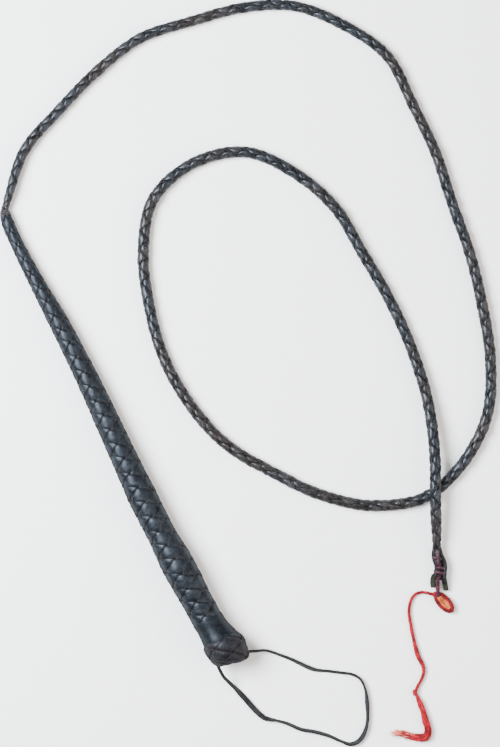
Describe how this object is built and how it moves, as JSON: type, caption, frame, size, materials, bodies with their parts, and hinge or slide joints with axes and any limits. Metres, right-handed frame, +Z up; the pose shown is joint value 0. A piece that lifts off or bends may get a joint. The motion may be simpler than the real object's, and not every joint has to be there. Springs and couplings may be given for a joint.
{
  "type": "plaited whip",
  "caption": "Plaited black leather whip: tapered handle with woven heel knot and wrist lace, long round-plaited thong, and a red cord cracker with a frayed end, laid on a flat surface.",
  "frame": {"origin": "centre of the underside of the handle's box, on the surface that the whip lies on; the thong, wrist lace and cracker aren't part of that box", "axes": "+Y along the handle from the heel to the tip, +Z up, +X towards the side where the thong is laid"},
  "size_m": [0.3942, 0.6839, 0.0378],
  "materials": {
    "plaited_leather": "black plaited leather strands, polished, cool sheen, edges worn brown",
    "thong_leather": "black round-plaited leather, greased, bluish sheen",
    "heel_leather": "black woven leather knot with maroon worn rims",
    "band_leather": "smooth black leather band",
    "lace_leather": "flat black leather lace, semi-gloss",
    "cane": "plain cane rod",
    "core_leather": "undyed leather winding",
    "binding_thread": "waxed grey thread",
    "fall_leather": "dark plum twisted lace",
    "hitch_leather": "dark leather strands with a plum tint",
    "tail_leather": "olive-grey worn strand ends",
    "loop_cord": "crimson twisted cord",
    "cracker_cord": "coral red twisted yarn",
    "tassel_fibre": "frayed red yarn with pale tips"
  },
  "bodies": {
    "handle": {"handle_core": "cane", "handle_foundation": "core_leather", "handle_plait": "plaited_leather", "heel_band": "band_leather", "tip_binding": "binding_thread", "handle_keeper": "lace_leather", "heel_foundation": "core_leather", "heel_cap": "heel_leather", "heel_knot": "heel_leather"},
    "thong": {"thong_keeper": "lace_leather", "keeper_binding": "binding_thread", "thong": "thong_leather", "fall_hitch": "hitch_leather", "hitch_tail_left": "tail_leather", "hitch_tail_right": "tail_leather", "fall": "fall_leather"},
    "cracker": {"cracker_loop": "loop_cord", "cracker_string": "cracker_cord", "cracker_knot": "cracker_cord", "cracker_tassel": "tassel_fibre"},
    "wrist_loop": {"wrist_lace": "lace_leather"}
  },
  "joints": [
    {"name": "thong_swing", "type": "hinge", "parent": "handle", "child": "thong", "pos_m": [0, 0.22811, 0.006], "axis": [0, 0, 1], "range_deg": [0, 120]},
    {"name": "cracker_swing", "type": "hinge", "parent": "thong", "child": "cracker", "pos_m": [0.1931, -0.2577, 0.0042], "axis": [0, 0, 1], "range_deg": [0, 60]},
    {"name": "wrist_loop_lift", "type": "hinge", "parent": "handle", "child": "wrist_loop", "pos_m": [0, -0.232, 0.0144], "axis": [-1, 0, 0], "range_deg": [0, 90]}
  ]
}
